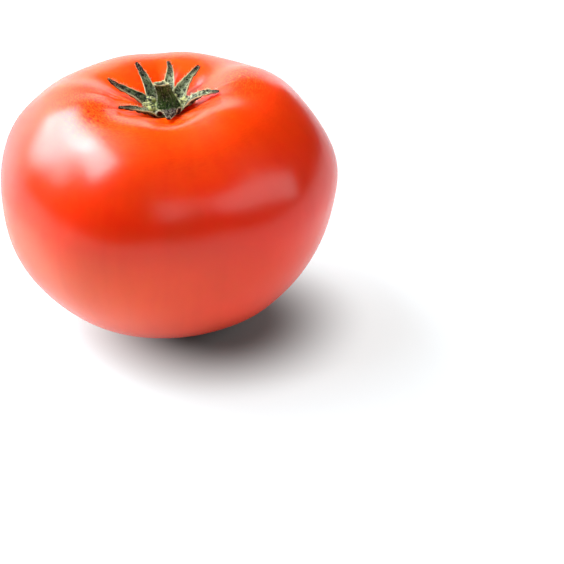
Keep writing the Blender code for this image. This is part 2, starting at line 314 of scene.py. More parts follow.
ripe_skin = bpy.data.materials.new("ripe_tomato_skin")
ripe_skin.use_nodes = True
ripe_shader = ripe_skin.node_tree.nodes["Principled BSDF"]
SIDE_RED = linear("#e22701")
CROWN_RED = linear("#f04f01")
DEEP_RED = linear("#c01401")
FLECK_ORANGE = linear("#ee5e12")
FLECK_RED = linear("#a81600")
FLOOR_LIGHT_ORANGE = linear("#ff6010")
CORK_BROWN = linear("#6b4a2a")
# How many freckles, ripening patches, streaks and pits of the peel fit in a metre, from their
# size in the real skin. The pits are drawn coarser than skin cells, which would be too fine to show.
FLECK_PER_M = 1 / 0.00048
PATCH_PER_M = 1 / 0.014
STREAK_PER_M = 1 / 0.0022
PEEL_PER_M = 1 / 0.0011

grain = add_node(ripe_skin, "ShaderNodeAttribute", attribute_name="grain").outputs["Vector"]
crown, shoulder, scar, floor_light_share = (
    add_node(ripe_skin, "ShaderNodeAttribute", attribute_name=name).outputs["Fac"]
    for name in ("crown", "shoulder", "scar", "floor_light_share")
)
place = add_node(ripe_skin, "ShaderNodeTexCoord").outputs["Object"]

patches = add_node(
    ripe_skin,
    "ShaderNodeTexNoise",
    {"Vector": place, "Scale": PATCH_PER_M, "Detail": 3.0, "Roughness": 0.5},
)
crown_edge = add_node(
    ripe_skin, "ShaderNodeMath", {0: patches.outputs["Fac"], 1: 0.5, 2: crown}, operation="MULTIPLY_ADD"
)
crown_share = add_node(
    ripe_skin, "ShaderNodeMapRange", {"Value": crown_edge.outputs[0], "From Min": 0.25, "From Max": 1.15}
)
body = add_node(
    ripe_skin,
    "ShaderNodeMix",
    {"Factor": crown_share.outputs[0], 6: SIDE_RED, 7: CROWN_RED},
    data_type="RGBA",
)
deep_share = add_node(
    ripe_skin,
    "ShaderNodeMapRange",
    {"Value": patches.outputs["Fac"], "From Min": 0.42, "From Max": 0.72, "To Max": 0.35},
)
blotched = add_node(
    ripe_skin,
    "ShaderNodeMix",
    {"Factor": deep_share.outputs[0], 6: body.outputs[2], 7: DEEP_RED},
    data_type="RGBA",
)
# Painted light: the skin is mixed towards a paler orange where the floor's light falls on the lower half
with_floor_light = add_node(
    ripe_skin, "ShaderNodeMix", {"Factor": floor_light_share, 6: blotched.outputs[2], 7: FLOOR_LIGHT_ORANGE}, data_type="RGBA"
)

stretched = add_node(
    ripe_skin, "ShaderNodeVectorMath", {0: grain, 1: (1.0, 1.0, 0.10)}, operation="MULTIPLY"
)
streaks = add_node(
    ripe_skin,
    "ShaderNodeTexNoise",
    {"Vector": stretched.outputs[0], "Scale": STREAK_PER_M, "Detail": 2.0, "Roughness": 0.5},
)
streak_share = add_node(
    ripe_skin,
    "ShaderNodeMapRange",
    {"Value": streaks.outputs["Fac"], "From Min": 0.45, "From Max": 0.75, "To Max": 0.10},
)
streaked = add_node(
    ripe_skin,
    "ShaderNodeMix",
    {"Factor": streak_share.outputs[0], 6: with_floor_light.outputs[2], 7: DEEP_RED},
    data_type="RGBA",
)

# Freckles are dashes that run round the fruit, pale ones with darker ones between them
dashes = add_node(ripe_skin, "ShaderNodeVectorMath", {0: grain, 1: (0.55, 0.55, 1.0)}, operation="MULTIPLY")
flecks = add_node(
    ripe_skin,
    "ShaderNodeTexNoise",
    {"Vector": dashes.outputs[0], "Scale": FLECK_PER_M, "Detail": 1.0, "Roughness": 0.5},
)
pale_fleck = add_node(
    ripe_skin, "ShaderNodeMapRange", {"Value": flecks.outputs["Fac"], "From Min": 0.50, "From Max": 0.66}
)
dark_fleck = add_node(
    ripe_skin, "ShaderNodeMapRange", {"Value": flecks.outputs["Fac"], "From Min": 0.46, "From Max": 0.36}
)
pale_here = add_node(
    ripe_skin, "ShaderNodeMath", {0: pale_fleck.outputs[0], 1: shoulder}, operation="MULTIPLY"
)
dark_here = add_node(
    ripe_skin, "ShaderNodeMath", {0: dark_fleck.outputs[0], 1: shoulder}, operation="MULTIPLY"
)
with_pale = add_node(
    ripe_skin,
    "ShaderNodeMix",
    {"Factor": pale_here.outputs[0], 6: streaked.outputs[2], 7: FLECK_ORANGE},
    data_type="RGBA",
)
with_dark = add_node(
    ripe_skin,
    "ShaderNodeMix",
    {"Factor": dark_here.outputs[0], 6: with_pale.outputs[2], 7: FLECK_RED},
    data_type="RGBA",
)
with_scar = add_node(
    ripe_skin, "ShaderNodeMix", {"Factor": scar, 6: with_dark.outputs[2], 7: CORK_BROWN}, data_type="RGBA"
)

peel = add_node(
    ripe_skin, "ShaderNodeTexNoise", {"Vector": grain, "Scale": PEEL_PER_M, "Detail": 2.0, "Roughness": 0.6}
)
peel_bump = add_node(
    ripe_skin, "ShaderNodeBump", {"Height": peel.outputs["Fac"], "Strength": 0.25, "Distance": 0.00006}
)
fleck_bump = add_node(
    ripe_skin,
    "ShaderNodeBump",
    {"Height": pale_here.outputs[0], "Strength": 0.3, "Distance": 0.00003, "Normal": peel_bump.outputs[0]},
)
wax = add_node(
    ripe_skin,
    "ShaderNodeMapRange",
    {"Value": peel.outputs["Fac"], "From Min": 0.3, "From Max": 0.7, "To Min": 0.255, "To Max": 0.270},
)
cork_rough = add_node(
    ripe_skin, "ShaderNodeMath", {0: scar, 1: 0.5, 2: wax.outputs[0]}, operation="MULTIPLY_ADD"
)

ripe_skin.node_tree.links.new(with_scar.outputs[2], ripe_shader.inputs["Base Color"])
ripe_skin.node_tree.links.new(cork_rough.outputs[0], ripe_shader.inputs["Roughness"])
ripe_skin.node_tree.links.new(fleck_bump.outputs[0], ripe_shader.inputs["Normal"])
ripe_shader.inputs["IOR"].default_value = 1.46
ripe_shader.inputs["Subsurface Weight"].default_value = 0.6
ripe_shader.inputs["Subsurface Radius"].default_value = (1.0, 0.12, 0.05)
ripe_shader.inputs["Subsurface Scale"].default_value = 0.012

fruit = add_piece("tomato_fruit", all_points, fruit_faces, ripe_skin)
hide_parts("fruit")

# Where the skin's colour changes. The orange crown fades out between two angles down from the
# stalk, and is weaker on one side. Azimuths and their spreads are in degrees.
CROWN_FADES = (math.radians(28), math.radians(88))
REDDER_SIDE = (345, 45)
REDDER_SHARE = 0.45
# Freckled patches: strength, azimuth, its spread, and the distances from the axis between which
# the freckles come in and go out again. The last one goes all round.
FRECKLED = (
    (0.95, 214, 30, (0.010, 0.015), (0.021, 0.028)),
    (0.65, 12, 22, (0.013, 0.017), (0.021, 0.027)),
    (0.08, 0, math.inf, (0.006, 0.016), (0.024, 0.034)),
)
# Painted light from the white floor, which makes the lower half paler and orange. It starts between
# two angles down from the stalk, is strongest on one side as far as two more, and a trace of it reaches up
# that side
FLOOR_LIGHT_STARTS = (math.radians(78), math.radians(106))
FLOOR_LIGHT_SHARE = 0.88
FLOOR_LIGHT_ALL_ROUND = 0.15
FLOOR_LIT_SIDE = (226, 50)
FLOOR_LIT_SIDE_ENDS = (1.9, 2.7)
FLANK_LIGHT_SHARE = 0.10
FLANK_LIGHT = (215, 60)
FLANK_LIGHT_STARTS = (0.8, 1.3)
SCAR_CORK_EDGE = (0.0006, 0.0016)
# The grain unrolls the skin: round at this radius, and this many metres down for each radian
GRAIN_RADIUS = 0.020
GRAIN_PER_RADIAN = 0.038

from_axis_grid = np.hypot(fruit_points[..., 0], fruit_points[..., 1])
on_top = polar_grid < math.radians(90)


def near(middle, width):
    """1 at an azimuth of the skin in degrees, falling off smoothly on both sides of it."""
    return around((np.degrees(azimuth_grid) - middle + 180) % 360 - 180, 0, width)


def with_poles(grid):
    """A grid's values with those of the two pole points after them."""
    return np.append(grid.ravel(), [grid[0].mean(), grid[-1].mean()])


grain_grid = np.stack(
    [
        GRAIN_RADIUS * np.cos(azimuth_grid),
        GRAIN_RADIUS * np.sin(azimuth_grid),
        GRAIN_PER_RADIAN * polar_grid,
    ],
    -1,
)
paint(fruit.data, "grain", np.concatenate([grain_grid.reshape(-1, 3), grain_grid[[0, -1], 0]]))

crowned = (1 - ease(polar_grid, *CROWN_FADES)) * (1 - REDDER_SHARE * near(*REDDER_SIDE))
paint(fruit.data, "crown", with_poles(crowned))

freckled = np.zeros_like(polar_grid)
for strength, azimuth, spread, comes_in, goes_out in FRECKLED:
    patch = ease(from_axis_grid, *comes_in) * (1 - ease(from_axis_grid, *goes_out))
    freckled += strength * near(azimuth, spread) * patch
paint(fruit.data, "shoulder", with_poles(freckled * on_top))

# Painted floor light, a little low down all round and most of all on the lower left
low_down = ease(polar_grid, *FLOOR_LIGHT_STARTS)
floor_lit_side = near(*FLOOR_LIT_SIDE) * (1 - ease(polar_grid, *FLOOR_LIT_SIDE_ENDS))
floor_lit = FLOOR_LIGHT_SHARE * low_down * (FLOOR_LIGHT_ALL_ROUND + (1 - FLOOR_LIGHT_ALL_ROUND) * floor_lit_side)
floor_lit += FLANK_LIGHT_SHARE * (1 - low_down) * near(*FLANK_LIGHT) * ease(polar_grid, *FLANK_LIGHT_STARTS)
paint(fruit.data, "floor_light_share", with_poles(floor_lit))
paint(fruit.data, "scar", with_poles((1 - ease(from_axis_grid, *SCAR_CORK_EDGE)) * ~on_top))

# The calyx is the flower's green star, dried a little on the plant: a small knuckled disc that
# grips the stalk's foot, and seven hairy sepals grown out of it that lie along the hollow's wall.

GAP = 0.0003
CALYX_X = 0.0012
DISC_RADIUS = 0.0034
DISC_THICKNESS = 0.0009
BLADE_CLEARANCE = 0.00045
BLADE_TOP = 0.0007
BLADE_THICKNESS = 0.00052
BLADE_ROOT = 0.0020
BLADE_STEPS = 72
BLADE_ACROSS = 25
CALYX_VOXEL = 0.00012

# The blades' small forms: half-width at the tip, the share of the length over which a blade opens
# out of its root, the share of its width that curls, then heights of the edges' wave, the groove
# over the midrib, the grooves over the nerves, the coarse and fine crumples, and the keel below
TIP_HALF_WIDTH = 0.00022
BLADE_OPENS = (0.1, 0.45)
CURLED_SHARE = 0.45
EDGE_WAVE = 0.00011
MIDRIB_GROOVE = 0.00014
NERVE_GROOVE = 0.00004
CRUMPLES = (0.00021, 0.00011)
KEEL = 0.00030

# Each sepal: azimuth of its root and the swing of its tip in degrees, reach, half-width, how far
# its tip stands off the skin, how far its middle arches up, the fold along its midrib, the roll
# in degrees, how tightly its edges curl in, and how far its dry tip hooks up
SEPALS = (
    (349, 4.5, 0.0122, 0.0019, -0.0007, 0.0008, 0.28, 18, 0.20, 0.0000),
    (57, 3, 0.0134, 0.0020, 0.0015, 0.0003, 0.40, 14, 0.50, 0.0003),
    (88, 4.5, 0.0140, 0.0019, 0.0015, 0.0002, 0.35, 0, 0.35, 0.0003),
    (129, -8, 0.0146, 0.0018, 0.0015, 0.0002, 0.25, -8, 0.20, 0.0002),
    (163, -2, 0.0151, 0.0017, 0.0010, 0.0002, 0.35, -22, 0.25, 0.0003),
    (226, -17, 0.0129, 0.0016, 0.0000, 0.0002, 0.25, -20, 0.18, 0.0000),
    (276, 0, 0.0096, 0.0031, -0.0003, 0.0009, 0.02, 3, 0.02, 0.0000),
)
# How pale each sepal is, and how far it has dried, in the same order
SEPAL_TONES = ((0.85, 0.0), (0.75, 0.0), (0.65, 0.0), (0.10, 0.1), (0.10, 0.1), (0.35, 0.1), (0.0, 0.72))


def skin_height(x, y):
    """Height of the crown's skin straight under or over points, found by halving."""
    azimuth = np.arctan2(y, x)
    wanted = np.hypot(x, y)
    low_polar = np.zeros_like(wanted)
    high_polar = np.full_like(wanted, math.radians(60))
    for _ in range(24):
        middle = (low_polar + high_polar) / 2
        point = skin(middle, azimuth)
        inside = np.hypot(point[..., 0], point[..., 1]) < wanted
        low_polar = np.where(inside, middle, low_polar)
        high_polar = np.where(inside, high_polar, middle)
    return skin((low_polar + high_polar) / 2, azimuth)[..., 2]


def unit(vectors):
    """The same directions, each of length 1."""
    return vectors / np.linalg.norm(vectors, axis=-1, keepdims=True)


def sepal_blade(number):
    """Upper and lower face of one sepal, as rows of points from root to tip."""
    azimuth, swing, reach, half_width, lift, arch, fold, roll, curl, hook = SEPALS[number]
    wild = np.random.default_rng(100 + number)
    along = np.linspace(0, 1, BLADE_STEPS)[:, None]
    across = np.linspace(-1, 1, BLADE_ACROSS)[None, :]
    distance = BLADE_ROOT + (reach - BLADE_ROOT) * along[:, 0]
    turn = np.radians(azimuth + swing * along[:, 0] ** 1.5)
    turn = turn + 0.05 * np.sin(5 * along[:, 0] + wild.uniform(0, 6)) * along[:, 0]
    x = CALYX_X + distance * np.cos(turn)
    y = distance * np.sin(turn)
    rise = BLADE_CLEARANCE + BLADE_TOP + lift * along[:, 0] ** 1.6 + arch * np.sin(math.pi * along[:, 0])
    rise = rise + hook * ease(along[:, 0], 0.8, 1.0)
    middle = np.stack([x, y, skin_height(x, y) + rise], -1)
    middle[:, 2] = np.convolve(np.pad(middle[:, 2], 4, mode="edge"), np.ones(9) / 9, mode="valid")
    forward = unit(np.gradient(middle, axis=0))
    level = unit(np.cross((0.0, 0.0, 1.0), forward))
    upward = np.cross(forward, level)
    tilt = np.radians(roll) * along + 0.25 * np.sin(4 * along + wild.uniform(0, 6)) * along
    side = level * np.cos(tilt) + upward * np.sin(tilt)
    normal = np.cross(forward, side)

    # The outline, and then the waves of its edges and faces, in radians over the blade's length
    # and over half its width
    swell = 0.74 + 0.26 * np.sin(math.pi * np.minimum(along / 0.5, 1.0))
    taper = (1 - along**1.8) ** 0.85
    width = TIP_HALF_WIDTH + (half_width - TIP_HALF_WIDTH) * swell * taper
    ragged = 0.04 * np.sin(17 * along + wild.uniform(0, 6)) + 0.03 * np.sin(37 * along + wild.uniform(0, 6))
    width = width * (1 + ragged * np.sin(math.pi * along))
    opened = ease(along, *BLADE_OPENS)
    edge = np.clip(np.abs(across) - (1 - CURLED_SHARE), 0, 1) / CURLED_SHARE
    height = width * (fold * opened * np.abs(across) ** 1.3 + curl * opened * edge**2)
    reach_out = width * across * (1 - 0.30 * curl * opened * edge**2)
    wave = EDGE_WAVE * np.sin(11 * along + 2.2 * np.sign(across) + wild.uniform(0, 6)) * np.abs(across) ** 2
    midrib = -MIDRIB_GROOVE * around(across, 0, 0.16) * (1 - along)
    nerves = -NERVE_GROOVE * (1 + np.cos(2 * math.pi * across * 3.0)) * (1 - along)
    coarse, fine = CRUMPLES
    crumple = coarse * np.sin(23 * along + 2.4 * across + wild.uniform(0, 6))
    crumple = crumple * np.sin(9 * along - 3.1 * across + wild.uniform(0, 6))
    crumple = crumple + fine * np.sin(47 * along - 5.0 * across + wild.uniform(0, 6))
    height = height + wave * opened + midrib + (nerves + crumple * (1 - np.abs(across) ** 3)) * opened
    top = middle[:, None] + side[:, None] * reach_out[..., None] + normal[:, None] * height[..., None]
    floor = skin_height(top[..., 0], top[..., 1]) + BLADE_CLEARANCE * 0.5 + BLADE_THICKNESS
    top[..., 2] = np.maximum(top[..., 2], floor)
    outward = unit(np.cross(np.gradient(top, axis=0), np.gradient(top, axis=1)))
    thin = BLADE_THICKNESS * (1 - 0.42 * np.abs(across) ** 2) * (1 - 0.35 * along)
    keel = KEEL * around(across, 0, 0.20) * (1 - 0.8 * along)
    under = top - outward * (thin + keel)[..., None]
    return top, under, outward


def blade_faces(rows, columns):
    """A closed shell from an upper grid of points followed by the lower one."""
    upper = np.arange(rows * columns).reshape(rows, columns).tolist()
    lower = (np.arange(rows * columns).reshape(rows, columns) + rows * columns).tolist()
    faces = []
    for r in range(rows - 1):
        for c in range(columns - 1):
            faces.append((upper[r][c], upper[r + 1][c], upper[r + 1][c + 1], upper[r][c + 1]))
            faces.append((lower[r][c], lower[r][c + 1], lower[r + 1][c + 1], lower[r + 1][c]))
        faces.append((upper[r][0], lower[r][0], lower[r + 1][0], upper[r + 1][0]))
        faces.append((upper[r + 1][-1], lower[r + 1][-1], lower[r][-1], upper[r][-1]))
    for c in range(columns - 1):
        faces.append((upper[0][c + 1], lower[0][c + 1], lower[0][c], upper[0][c]))
        faces.append((upper[-1][c], lower[-1][c], lower[-1][c + 1], upper[-1][c + 1]))
    return faces


def rounded(centre, radii, azimuth, sides=28, rows=16):
    """A closed rounded lump, turned to an azimuth."""
    polar = np.linspace(0.05, math.pi - 0.05, rows)[:, None]
    turn = (np.arange(sides) * 2 * math.pi / sides)[None, :]
    shape = np.stack(
        [np.sin(polar) * np.cos(turn), np.sin(polar) * np.sin(turn), np.cos(polar) + 0 * turn], -1
    ) * np.asarray(radii)
    c, s = math.cos(azimuth), math.sin(azimuth)
    placed = np.stack(
        [shape[..., 0] * c - shape[..., 1] * s, shape[..., 0] * s + shape[..., 1] * c, shape[..., 2]], -1
    )
    placed = placed.reshape(-1, 3) + centre
    faces = tube_faces(rows, sides)
    faces.append(tuple(range(sides)))
    faces.append(tuple(reversed(range((rows - 1) * sides, rows * sides))))
    return placed, faces


rim = np.arange(32) * 2 * math.pi / 32
disc_floor = skin_height(CALYX_X + DISC_RADIUS * np.cos(rim), DISC_RADIUS * np.sin(rim)).max() + GAP
disc_top = disc_floor + DISC_THICKNESS

calyx_points = []
calyx_faces = []
calyx_marks = []


def grow_on(points, faces, along, across, pale, dried):
    """Takes a closed part into the calyx, with what its leaf material reads at each point."""
    first = sum(len(part) for part in calyx_points)
    calyx_faces.extend(tuple(first + corner for corner in face) for face in faces)
    calyx_points.append(points)
    calyx_marks.append(
        np.stack([np.broadcast_to(mark, len(points)) for mark in (along, across, pale, dried)], -1)
    )


along_grid, across_grid = np.meshgrid(
    np.linspace(0, 1, BLADE_STEPS), np.linspace(-1, 1, BLADE_ACROSS), indexing="ij"
)
sepal_faces = blade_faces(BLADE_STEPS, BLADE_ACROSS)
blades = []
for number, (pale, dried) in enumerate(SEPAL_TONES):
    top, under, outward = sepal_blade(number)
    blades.append((top, outward))
    both_faces = np.concatenate([top.reshape(-1, 3), under.reshape(-1, 3)])
    along = np.tile(along_grid.ravel(), 2)
    across = np.tile(across_grid.ravel(), 2)
    grow_on(both_faces, sepal_faces, along, across, pale, dried)

# The disc, and the knuckles on it between the sepals' roots: azimuth, distance, radii and height
# over the disc's floor, in mm
DISC_LUMP = (1.02, 1.02, 0.62)
KNUCKLES = (
    (182, 4.6, (1.5, 1.0, 0.75), 0.95),
    (205, 4.4, (1.3, 0.9, 0.7), 0.8),
    (150, 4.7, (1.4, 1.0, 0.8), 1.05),
    (110, 4.5, (1.2, 1.0, 0.7), 0.9),
    (72, 4.5, (1.2, 0.9, 0.7), 0.9),
    (30, 4.8, (1.5, 1.1, 0.8), 1.0),
    (8, 5.0, (1.6, 0.8, 0.8), 1.2),
)
KNUCKLE_PALE = 0.9
disc_centre = (CALYX_X, 0.0, disc_floor + 0.45 * DISC_THICKNESS)
disc_sizes = (DISC_RADIUS, DISC_RADIUS, DISC_THICKNESS)
lumps = [(disc_centre, [share * size for share, size in zip(DISC_LUMP, disc_sizes)], 0.0)]
for azimuth, distance, radii, height in KNUCKLES:
    turn = math.radians(azimuth)
    centre = (
        CALYX_X + distance / 1000 * math.cos(turn),
        distance / 1000 * math.sin(turn),
        disc_floor + height / 1000,
    )
    lumps.append((centre, [r / 1000 for r in radii], turn))
for centre, radii, turn in lumps:
    grow_on(*rounded(centre, radii, turn), 0.0, 0.0, KNUCKLE_PALE, 0.0)
calyx_points = np.concatenate(calyx_points) + shift
calyx_marks = np.concatenate(calyx_marks)

# Calyx leaf: a soft green blade with a dull, finely haired surface. It is dark where it is thick,
# yellow-green at the roots, pale along the edges, and brown where the tips have dried.

calyx_leaf = bpy.data.materials.new("dry_calyx_leaf")
calyx_leaf.use_nodes = True
leaf_shader = calyx_leaf.node_tree.nodes["Principled BSDF"]
LEAF_DARK = linear("#11180a")
LEAF_MID = linear("#485a2e")
LEAF_PALE = linear("#c6d6ac")
LEAF_ROOT = linear("#b9c072")
LEAF_EDGE = linear("#dadfa8")
LEAF_DRY = linear("#22170a")
# Mottles of the dried blade are about a millimetre wide
MOTTLE_PER_M = 1 / 0.0011

LEAF_MARKS = ("along", "across", "pale", "dried")
leaf_along, leaf_across, leaf_pale, leaf_dried = (
    add_node(calyx_leaf, "ShaderNodeAttribute", attribute_name=name).outputs["Fac"] for name in LEAF_MARKS
)
leaf_place = add_node(calyx_leaf, "ShaderNodeTexCoord").outputs["Object"]
mottle = add_node(
    calyx_leaf,
    "ShaderNodeTexNoise",
    {"Vector": leaf_place, "Scale": MOTTLE_PER_M, "Detail": 6.0, "Roughness": 0.72, "Distortion": 1.4},
)
mottle_share = add_node(
    calyx_leaf, "ShaderNodeMapRange", {"Value": mottle.outputs["Fac"], "From Min": 0.47, "From Max": 0.57}
)
leaf_green = add_node(
    calyx_leaf,
    "ShaderNodeMix",
    {"Factor": mottle_share.outputs[0], 6: LEAF_DARK, 7: LEAF_MID},
    data_type="RGBA",
)
pale_spots = add_node(
    calyx_leaf, "ShaderNodeMath", {0: leaf_pale, 1: mottle_share.outputs[0]}, operation="MULTIPLY"
)
leaf_paled = add_node(
    calyx_leaf,
    "ShaderNodeMix",
    {"Factor": pale_spots.outputs[0], 6: leaf_green.outputs[2], 7: LEAF_PALE},
    data_type="RGBA",
)
root_share = add_node(
    calyx_leaf, "ShaderNodeMapRange", {"Value": leaf_along, "From Min": 0.30, "From Max": 0.02}
)
root_spots = add_node(
    calyx_leaf,
    "ShaderNodeMath",
    {0: root_share.outputs[0], 1: mottle_share.outputs[0]},
    operation="MULTIPLY",
)
leaf_rooted = add_node(
    calyx_leaf,
    "ShaderNodeMix",
    {"Factor": root_spots.outputs[0], 6: leaf_paled.outputs[2], 7: LEAF_ROOT},
    data_type="RGBA",
)
edge_share = add_node(
    calyx_leaf,
    "ShaderNodeMapRange",
    {"Value": leaf_across, "From Min": 0.88, "From Max": 0.99, "To Max": 0.8},
)
leaf_edged = add_node(
    calyx_leaf,
    "ShaderNodeMix",
    {"Factor": edge_share.outputs[0], 6: leaf_rooted.outputs[2], 7: LEAF_EDGE},
    data_type="RGBA",
)
drying = add_node(calyx_leaf, "ShaderNodeMath", {0: leaf_along, 1: leaf_dried}, operation="ADD")
dry_edge = add_node(
    calyx_leaf,
    "ShaderNodeMath",
    {0: mottle.outputs["Fac"], 1: 0.35, 2: drying.outputs[0]},
    operation="MULTIPLY_ADD",
)
dry_share = add_node(
    calyx_leaf, "ShaderNodeMapRange", {"Value": dry_edge.outputs[0], "From Min": 0.95, "From Max": 1.12}
)
leaf_colour = add_node(
    calyx_leaf,
    "ShaderNodeMix",
    {"Factor": dry_share.outputs[0], 6: leaf_edged.outputs[2], 7: LEAF_DRY},
    data_type="RGBA",
)
leaf_bump = add_node(
    calyx_leaf, "ShaderNodeBump", {"Height": mottle.outputs["Fac"], "Strength": 0.9, "Distance": 0.0004}
)
calyx_leaf.node_tree.links.new(leaf_colour.outputs[2], leaf_shader.inputs["Base Color"])
calyx_leaf.node_tree.links.new(leaf_bump.outputs[0], leaf_shader.inputs["Normal"])
leaf_shader.inputs["Roughness"].default_value = 0.62
leaf_shader.inputs["IOR"].default_value = 1.45
leaf_shader.inputs["Specular IOR Level"].default_value = 0.22
leaf_shader.inputs["Sheen Weight"].default_value = 0.06
leaf_shader.inputs["Sheen Roughness"].default_value = 0.4
leaf_shader.inputs["Subsurface Weight"].default_value = 0.12
leaf_shader.inputs["Subsurface Radius"].default_value = (0.5, 0.8, 0.2)
leaf_shader.inputs["Subsurface Scale"].default_value = 0.0006

# The sepals and the disc are fused into one skin, which then takes each point's marks from the
# nearest point of the parts that it was fused from
calyx = add_piece("calyx_star", calyx_points, calyx_faces, calyx_leaf)
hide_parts("calyx")
fuse = calyx.modifiers.new("grown_together", "REMESH")
fuse.mode = "VOXEL"
fuse.voxel_size = CALYX_VOXEL
fuse.use_smooth_shade = True
even = calyx.modifiers.new("even", "SMOOTH")
even.factor = 0.5
even.iterations = 3
shaped = bpy.data.meshes.new_from_object(calyx.evaluated_get(bpy.context.evaluated_depsgraph_get()))
calyx.modifiers.clear()
calyx.data = shaped
nearest = kdtree.KDTree(len(calyx_points))
for index, point in enumerate(calyx_points):
    nearest.insert(point, index)
nearest.balance()
sources = np.array([nearest.find(vertex.co)[1] for vertex in shaped.vertices])
for name, marks in zip(LEAF_MARKS, calyx_marks[sources].T):
    paint(shaped, name, np.abs(marks))

# The stalk is the ribbed stub of the truss, broken off above the calyx. It flares where the
# calyx grips it, and its end dried pale round a darker, sunken pith.

STALK_HEIGHT = 0.0053
STALK_LEAN = 0.0015
STALK_FOOT_RADIUS = 0.0027
STALK_RADIUS = 0.0017
STALK_FOOT_REACH = 0.0052
STALK_SINK = 0.0007
# The cut end slants up to the front by this much, and its rings step in from the rim: each is a
# share of the rim's size, how far it is sunk, and how much of the dark pith shows there
CUT_SLOPE = 0.22
CUT_STARTS = 0.3
CUT_RINGS = (
    (0.96, -0.00004, 0.0),
    (0.90, 0.0, 0.1),
    (0.82, 0.00018, 0.6),
    (0.70, 0.00050, 0.95),
    (0.54, 0.00072, 1.0),
    (0.36, 0.00080, 1.0),
    (0.18, 0.00078, 1.0),
)
STALK_RIBS = 5
STALK_RIB_SHARE = 0.07
STALK_SIDES = 120
STALK_RINGS = 90
stalk_foot = disc_top + GAP

stalk_up = np.linspace(-STALK_SINK, STALK_HEIGHT, STALK_RINGS)[:, None]
stalk_turn = (np.arange(STALK_SIDES) * 2 * math.pi / STALK_SIDES)[None, :]
flare = (1 - np.clip(stalk_up / STALK_FOOT_REACH, 0, 1)) ** 2
stalk_radius = STALK_RADIUS + (STALK_FOOT_RADIUS - STALK_RADIUS) * flare
lip = 0.05 * around(stalk_up, STALK_HEIGHT - 0.0002, 0.0007)
ribs = STALK_RIB_SHARE * np.cos(STALK_RIBS * stalk_turn + 25 * stalk_up)
ribs = ribs + 0.025 * np.cos(13 * stalk_turn + 1.3)
wrinkles = 0.02 * np.sin(9 * stalk_turn + 900 * stalk_up) * np.sin(1300 * stalk_up + 2 * np.cos(stalk_turn))
stalk_out = stalk_radius * (1 + ribs + lip + wrinkles)
lean = STALK_LEAN * (np.clip(stalk_up, 0, None) / STALK_HEIGHT) ** 1.4
stalk_points = np.stack(
    [
        CALYX_X + stalk_out * np.cos(stalk_turn) - lean,
        stalk_out * np.sin(stalk_turn),
        stalk_foot + stalk_up + 0 * stalk_turn,
    ],
    -1,
)
slanted = ease(stalk_up[:, 0], CUT_STARTS * STALK_HEIGHT, STALK_HEIGHT)[:, None]
stalk_points[..., 2] -= CUT_SLOPE * slanted * stalk_points[..., 1]
cut_rings = []
for share, sink, _ in CUT_RINGS:
    ring = stalk_points[-1].copy()
    centre = np.array([CALYX_X - STALK_LEAN, 0.0, ring[:, 2].mean()])
    ring = centre + (ring - centre) * share
    ragged = 0.00016 * np.sin(3 * stalk_turn[0] + 1.0)
    ragged = ragged + 0.00009 * np.sin(7 * stalk_turn[0] + 9 * share) + 0.00005 * np.sin(17 * stalk_turn[0])
    ring[:, 2] -= sink + ragged * (0.3 + share)
    cut_rings.append(ring)
stalk_grid = np.concatenate([stalk_points, np.array(cut_rings)])[::-1]
stalk_rings = len(stalk_grid)
stalk_ends = np.array([stalk_grid[0].mean(0), stalk_grid[-1].mean(0)])
stalk_faces = tube_faces(stalk_rings, STALK_SIDES)
stalk_faces += end_faces(0, STALK_SIDES, stalk_rings * STALK_SIDES, True)
stalk_faces += end_faces((stalk_rings - 1) * STALK_SIDES, STALK_SIDES, stalk_rings * STALK_SIDES + 1, False)

# Stalk rind: fresh green stem with fibres about half a millimetre apart along it. It looks dull
# and finely streaked, and its cut end has dried to a pale rim round a dark pith.

stalk_rind = bpy.data.materials.new("green_stalk_rind")
stalk_rind.use_nodes = True
rind_shader = stalk_rind.node_tree.nodes["Principled BSDF"]
RIND_DARK = linear("#10260a")
RIND_MID = linear("#466e2c")
CUT_PALE = linear("#c6ce96")
CUT_PITH = linear("#2c2a16")
FIBRE_PER_M = 1 / 0.0005
rind_cut = add_node(stalk_rind, "ShaderNodeAttribute", attribute_name="cut").outputs["Fac"]
rind_pith = add_node(stalk_rind, "ShaderNodeAttribute", attribute_name="pith").outputs["Fac"]
rind_place = add_node(stalk_rind, "ShaderNodeTexCoord").outputs["Object"]
rind_long = add_node(
    stalk_rind, "ShaderNodeVectorMath", {0: rind_place, 1: (1.0, 1.0, 0.25)}, operation="MULTIPLY"
)
fibre = add_node(
    stalk_rind,
    "ShaderNodeTexNoise",
    {"Vector": rind_long.outputs[0], "Scale": FIBRE_PER_M, "Detail": 4.0, "Roughness": 0.6},
)
fibre_share = add_node(
    stalk_rind, "ShaderNodeMapRange", {"Value": fibre.outputs["Fac"], "From Min": 0.4, "From Max": 0.68}
)
rind_green = add_node(
    stalk_rind,
    "ShaderNodeMix",
    {"Factor": fibre_share.outputs[0], 6: RIND_DARK, 7: RIND_MID},
    data_type="RGBA",
)
rind_ended = add_node(
    stalk_rind,
    "ShaderNodeMix",
    {"Factor": rind_cut, 6: rind_green.outputs[2], 7: CUT_PALE},
    data_type="RGBA",
)
rind_colour = add_node(
    stalk_rind,
    "ShaderNodeMix",
    {"Factor": rind_pith, 6: rind_ended.outputs[2], 7: CUT_PITH},
    data_type="RGBA",
)
rind_bump = add_node(
    stalk_rind, "ShaderNodeBump", {"Height": fibre.outputs["Fac"], "Strength": 0.9, "Distance": 0.0003}
)
stalk_rind.node_tree.links.new(rind_colour.outputs[2], rind_shader.inputs["Base Color"])
stalk_rind.node_tree.links.new(rind_bump.outputs[0], rind_shader.inputs["Normal"])
rind_shader.inputs["Roughness"].default_value = 0.6
rind_shader.inputs["IOR"].default_value = 1.45
